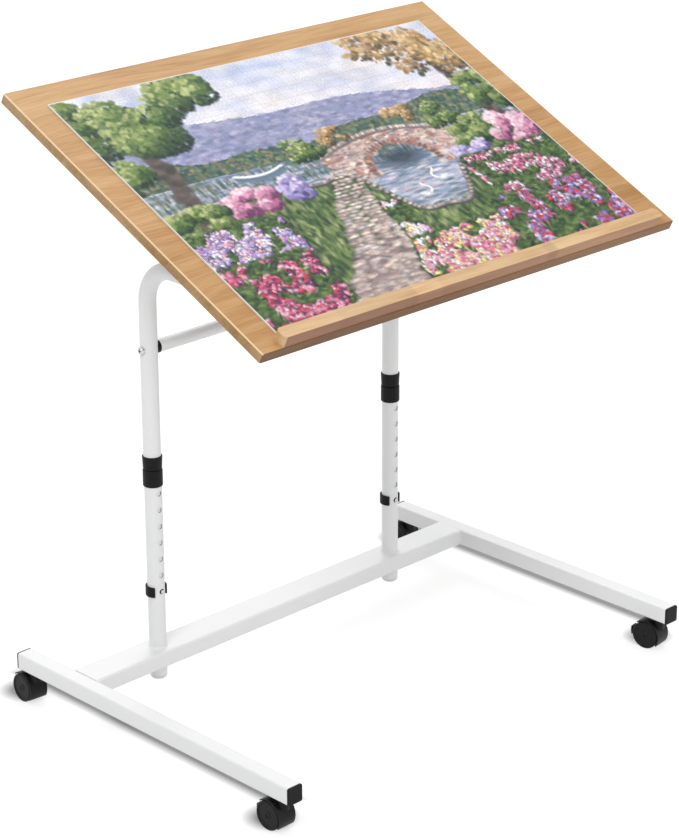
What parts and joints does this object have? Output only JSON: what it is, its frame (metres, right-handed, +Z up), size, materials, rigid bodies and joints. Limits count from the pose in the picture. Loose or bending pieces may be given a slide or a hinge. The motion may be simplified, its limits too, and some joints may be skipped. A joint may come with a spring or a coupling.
{
  "type": "tilting jigsaw table",
  "caption": "Jigsaw table: wooden top with a front ledge, tilting on slotted quadrants over height-adjustable tube legs on a white H-shaped base with casters.",
  "frame": {"origin": "on the floor, at the middle of the whole table's width and depth", "axes": "+X to the sitter's right, +Y to the table's back, away from the sitter, +Z up"},
  "size_m": [0.7957, 0.5754, 0.8936],
  "materials": {
    "board_wood": "satin lacquer, light beech tone",
    "ledge_wood": "satin lacquer, finger-jointed strip",
    "puzzle_card": "printed card with a white paper edge",
    "white_steel": "satin powder coat",
    "white_plastic": "satin",
    "black_plastic": "satin",
    "black_nylon": "satin",
    "black_rubber": "matt",
    "chrome_steel": "bright plated",
    "zinc_steel": "zinc plated"
  },
  "bodies": {
    "base": {"foot_rail_left": "white_steel", "foot_rail_right": "white_steel", "rail_caps": "black_plastic", "cross_beam": "white_steel", "weld_beads": "white_steel", "lower_leg_left": "white_steel", "lower_leg_right": "white_steel", "foot_plug_left": "white_plastic", "foot_plug_right": "white_plastic", "lower_collar_left": "black_plastic", "lower_collar_right": "black_plastic", "caster_stems": "zinc_steel", "caster_nuts": "zinc_steel"},
    "upper_frame": {"upper_tube_left": "white_steel", "upper_tube_right": "white_steel", "inner_post_left": "white_steel", "inner_post_right": "white_steel", "post_guide_left": "black_plastic", "post_guide_right": "black_plastic", "upper_collar_left": "black_plastic", "upper_collar_right": "black_plastic", "tie_tube": "white_steel", "tie_saddle_left": "black_plastic", "tie_saddle_right": "black_plastic", "tie_screws": "chrome_steel", "arm_plug_left": "black_plastic", "arm_plug_right": "black_plastic", "pivot_bolts": "zinc_steel", "pivot_nuts": "zinc_steel", "clamp_bolts": "zinc_steel", "clamp_spacer_left": "black_plastic", "clamp_spacer_right": "black_plastic", "clamp_washers": "zinc_steel", "rest_pads": "black_rubber"},
    "tilting_top": {"table_top": "board_wood", "front_ledge": "ledge_wood", "jigsaw_puzzle": "puzzle_card", "ledge_screws": "zinc_steel", "board_screws": "zinc_steel", "pivot_bracket_left": "zinc_steel", "pivot_bracket_right": "zinc_steel", "quadrant_left": "zinc_steel", "quadrant_right": "zinc_steel"},
    "tilt_knob_left": {"tilt_knob_left": "black_plastic"},
    "snap_button_left": {"snap_button_left": "zinc_steel"},
    "lock_clip_left": {"lock_clip_left": "black_plastic"},
    "tilt_knob_right": {"tilt_knob_right": "black_plastic"},
    "snap_button_right": {"snap_button_right": "zinc_steel"},
    "lock_clip_right": {"lock_clip_right": "black_plastic"},
    "caster_front_left": {"caster_hood_front_left": "black_nylon"},
    "wheels_front_left": {"caster_wheels_front_left": "black_nylon"},
    "brake_front_left": {"caster_brake_front_left": "black_nylon"},
    "caster_front_right": {"caster_hood_front_right": "black_nylon"},
    "wheels_front_right": {"caster_wheels_front_right": "black_nylon"},
    "brake_front_right": {"caster_brake_front_right": "black_nylon"},
    "caster_back_left": {"caster_hood_back_left": "black_nylon"},
    "wheels_back_left": {"caster_wheels_back_left": "black_nylon"},
    "caster_back_right": {"caster_hood_back_right": "black_nylon"},
    "wheels_back_right": {"caster_wheels_back_right": "black_nylon"}
  },
  "joints": [
    {"name": "height_slide", "type": "slide", "parent": "base", "child": "upper_frame", "axis": [0, 0, 1], "range_m": [0, 0.15], "deforming": ["snap_button_left", "snap_button_right"]},
    {"name": "top_tilt", "type": "hinge", "parent": "upper_frame", "child": "tilting_top", "pos_m": [0, -0.19637, 0.646], "axis": [1, 0, 0], "range_deg": [-25.7, 19.3]},
    {"name": "knob_turn_left", "type": "hinge", "parent": "upper_frame", "child": "tilt_knob_left", "pos_m": [-0.2095, -0.07637, 0.646], "axis": [1, 0, 0], "range_deg": [0, 360]},
    {"name": "button_press_left", "type": "slide", "parent": "upper_frame", "child": "snap_button_left", "axis": [0, 1, 0], "range_m": [0, 0.0032], "stiffness_N_per_m": 900},
    {"name": "clip_slide_left", "type": "slide", "parent": "base", "child": "lock_clip_left", "axis": [0, 0, 1], "range_m": [0, 0.15]},
    {"name": "knob_turn_right", "type": "hinge", "parent": "upper_frame", "child": "tilt_knob_right", "pos_m": [0.2095, -0.07637, 0.646], "axis": [-1, 0, 0], "range_deg": [0, 360]},
    {"name": "button_press_right", "type": "slide", "parent": "upper_frame", "child": "snap_button_right", "axis": [0, 1, 0], "range_m": [0, 0.0032], "stiffness_N_per_m": 900},
    {"name": "clip_slide_right", "type": "slide", "parent": "base", "child": "lock_clip_right", "axis": [0, 0, 1], "range_m": [0, 0.15]},
    {"name": "swivel_front_left", "type": "hinge", "parent": "base", "child": "caster_front_left", "pos_m": [-0.3825, -0.26388, 0.042], "axis": [0, 0, 1], "continuous": true},
    {"name": "roll_front_left", "type": "hinge", "parent": "caster_front_left", "child": "wheels_front_left", "pos_m": [-0.38277, -0.24868, 0.021], "axis": [0.9998, 0.0175, 0], "continuous": true},
    {"name": "brake_front_left", "type": "hinge", "parent": "caster_front_left", "child": "brake_front_left", "pos_m": [-0.38291, -0.24019, 0.02949], "axis": [-0.9998, -0.0175, 0], "range_deg": [0, 20]},
    {"name": "swivel_front_right", "type": "hinge", "parent": "base", "child": "caster_front_right", "pos_m": [0.3825, -0.26388, 0.042], "axis": [0, 0, 1], "continuous": true},
    {"name": "roll_front_right", "type": "hinge", "parent": "caster_front_right", "child": "wheels_front_right", "pos_m": [0.38038, -0.24882, 0.021], "axis": [0.9903, 0.1392, 0], "continuous": true},
    {"name": "brake_front_right", "type": "hinge", "parent": "caster_front_right", "child": "brake_front_right", "pos_m": [0.3792, -0.24042, 0.02949], "axis": [-0.9903, -0.1392, 0], "range_deg": [0, 20]},
    {"name": "swivel_back_left", "type": "hinge", "parent": "base", "child": "caster_back_left", "pos_m": [-0.3825, 0.25052, 0.042], "axis": [0, 0, 1], "continuous": true},
    {"name": "roll_back_left", "type": "hinge", "parent": "caster_back_left", "child": "wheels_back_left", "pos_m": [-0.38144, 0.26569, 0.021], "axis": [0.9976, -0.0698, 0], "continuous": true},
    {"name": "swivel_back_right", "type": "hinge", "parent": "base", "child": "caster_back_right", "pos_m": [0.3825, 0.25052, 0.042], "axis": [0, 0, 1], "continuous": true},
    {"name": "roll_back_right", "type": "hinge", "parent": "caster_back_right", "child": "wheels_back_right", "pos_m": [0.38117, 0.26567, 0.021], "axis": [0.9962, 0.0872, 0], "continuous": true}
  ],
  "couplings": [
    {"joint": "clip_slide_left", "follows": "height_slide", "ratio": 1},
    {"joint": "clip_slide_right", "follows": "height_slide", "ratio": 1}
  ]
}
